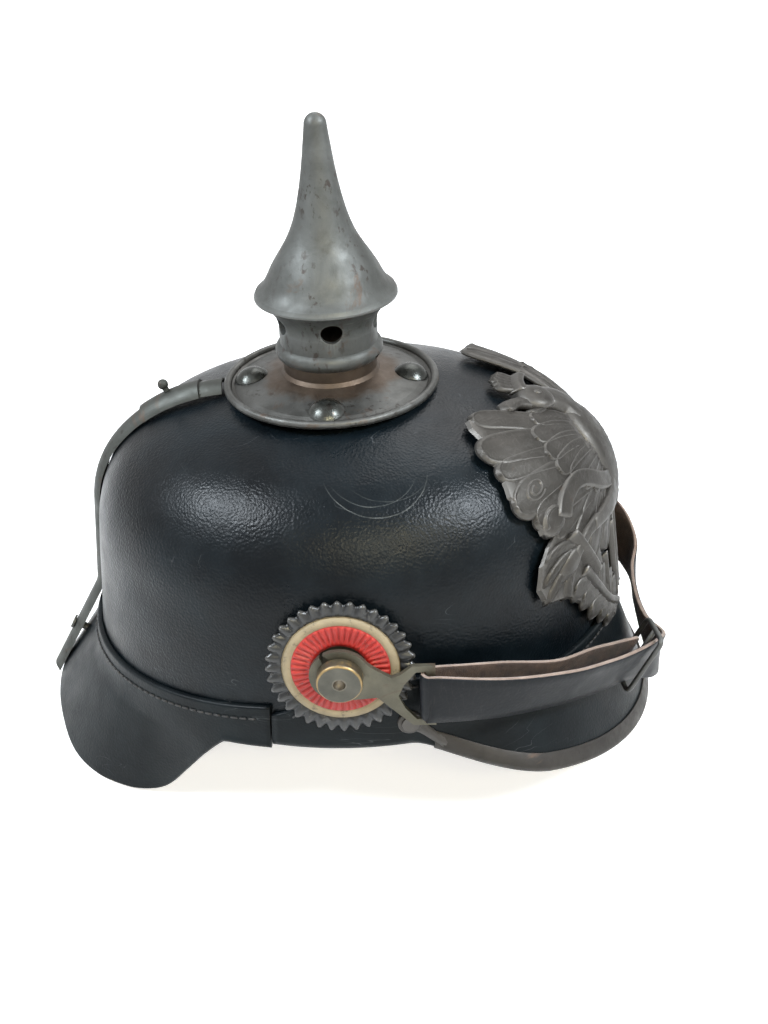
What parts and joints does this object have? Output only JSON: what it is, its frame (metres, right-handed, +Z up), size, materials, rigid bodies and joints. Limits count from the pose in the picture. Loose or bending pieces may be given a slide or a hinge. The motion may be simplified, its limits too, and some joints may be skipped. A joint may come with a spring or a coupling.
{
  "type": "spiked leather helmet",
  "caption": "Leather spiked helmet with visor, neck guard, stamped eagle plate, vented twist-off spike, rear spine with vent slide and a swinging chin strap.",
  "frame": {"origin": "on the axis of the spike, at the level of the surface the helmet rests on", "axes": "+Z up along the spike, -Y towards the visor and front plate, -X towards the wearer's right side"},
  "size_m": [0.2, 0.2534, 0.2352],
  "materials": {
    "skull_leather": "black lacquered leather, pebbled gloss",
    "visor_leather": "black lacquered leather, satin",
    "trim_steel": "dark, matt, worn",
    "steel": "grey, worn",
    "spike_steel": "grey, worn, rust spots",
    "plate_steel": "stamped, grey brown",
    "cockade_paint": "black flutes, cream ring, red ring",
    "fitting_steel": "greenish grey, worn",
    "strap_leather": "smooth black outside, brown suede inside",
    "liner_leather": "tan, worn"
  },
  "bodies": {
    "shell": {"leather_skull": "skull_leather", "front_visor": "visor_leather", "neck_guard": "visor_leather", "visor_trim": "trim_steel", "trim_rivets": "steel", "rear_spine": "steel", "spine_screw": "steel", "base_plate": "steel", "base_studs": "steel", "stud_washers": "steel", "collar_nibs": "steel", "front_plate": "plate_steel", "plate_loops": "plate_steel", "plate_wedges": "strap_leather", "cockade_right": "cockade_paint", "cockade_left": "cockade_paint", "side_post_right": "steel", "side_post_left": "steel", "post_washers": "steel", "post_nuts": "steel", "liner": "liner_leather"},
    "spike": {"spike": "spike_steel"},
    "vent": {"vent_slide": "steel", "vent_knob": "steel"},
    "strap": {"strap_fitting_right": "fitting_steel", "strap_fitting_left": "fitting_steel", "chin_strap": "strap_leather", "buckle_right": "fitting_steel", "buckle_left": "fitting_steel"}
  },
  "joints": [
    {"name": "spike_twist", "type": "hinge", "parent": "shell", "child": "spike", "pos_m": [0, 0, 0.1482], "axis": [0, 0, 1], "range_deg": [0, 30]},
    {"name": "vent_slide", "type": "hinge", "parent": "shell", "child": "vent", "pos_m": [0, 0.03627, 0.07352], "axis": [-1, 0, 0], "range_deg": [0, 9]},
    {"name": "strap_swing", "type": "hinge", "parent": "shell", "child": "strap", "pos_m": [0, -0.0044, 0.0735], "axis": [-1, 0, 0], "range_deg": [0, 90]}
  ]
}
